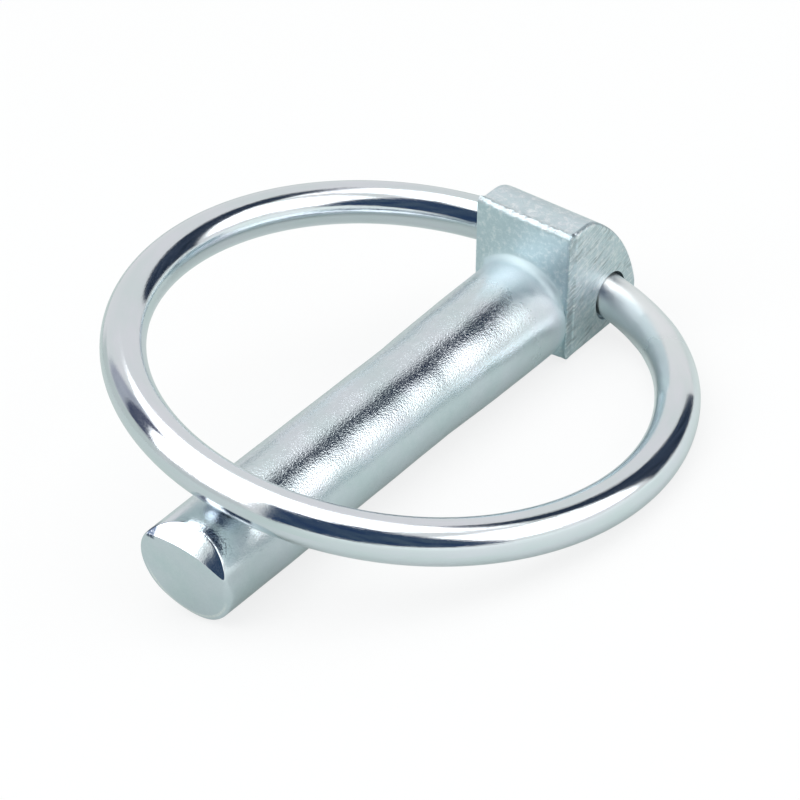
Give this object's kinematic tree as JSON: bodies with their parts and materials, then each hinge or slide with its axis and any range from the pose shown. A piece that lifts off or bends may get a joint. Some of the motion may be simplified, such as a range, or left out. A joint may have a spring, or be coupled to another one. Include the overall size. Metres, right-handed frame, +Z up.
{
  "type": "lynch pin",
  "caption": "Forged lynch pin with a square-shouldered head and a round spring-wire ring that locks across the shank; holds a part on a shaft or cross-drilled bar.",
  "frame": {"origin": "on the shank's axis, in the middle of its true cylinder, 27.3 mm from the shoulder", "axes": "+X along the shank towards the tip; +Z up as the loose pin lies on a table; +Y to the side the closed ring leans down on"},
  "size_m": [0.0588, 0.0494, 0.0199],
  "materials": {
    "pin": "bright zinc plate on forged steel, satin",
    "ring": "bright zinc plate on drawn spring wire, smooth"
  },
  "bodies": {
    "pin": {"pin": "pin"},
    "ring": {"ring": "ring"}
  },
  "joints": [
    {"name": "ring_swing", "type": "hinge", "parent": "pin", "child": "ring", "pos_m": [-0.03313, 0.00048, 0.00192], "axis": [0.1881, -0.7854, 0.5897], "range_deg": [0, 342]}
  ]
}
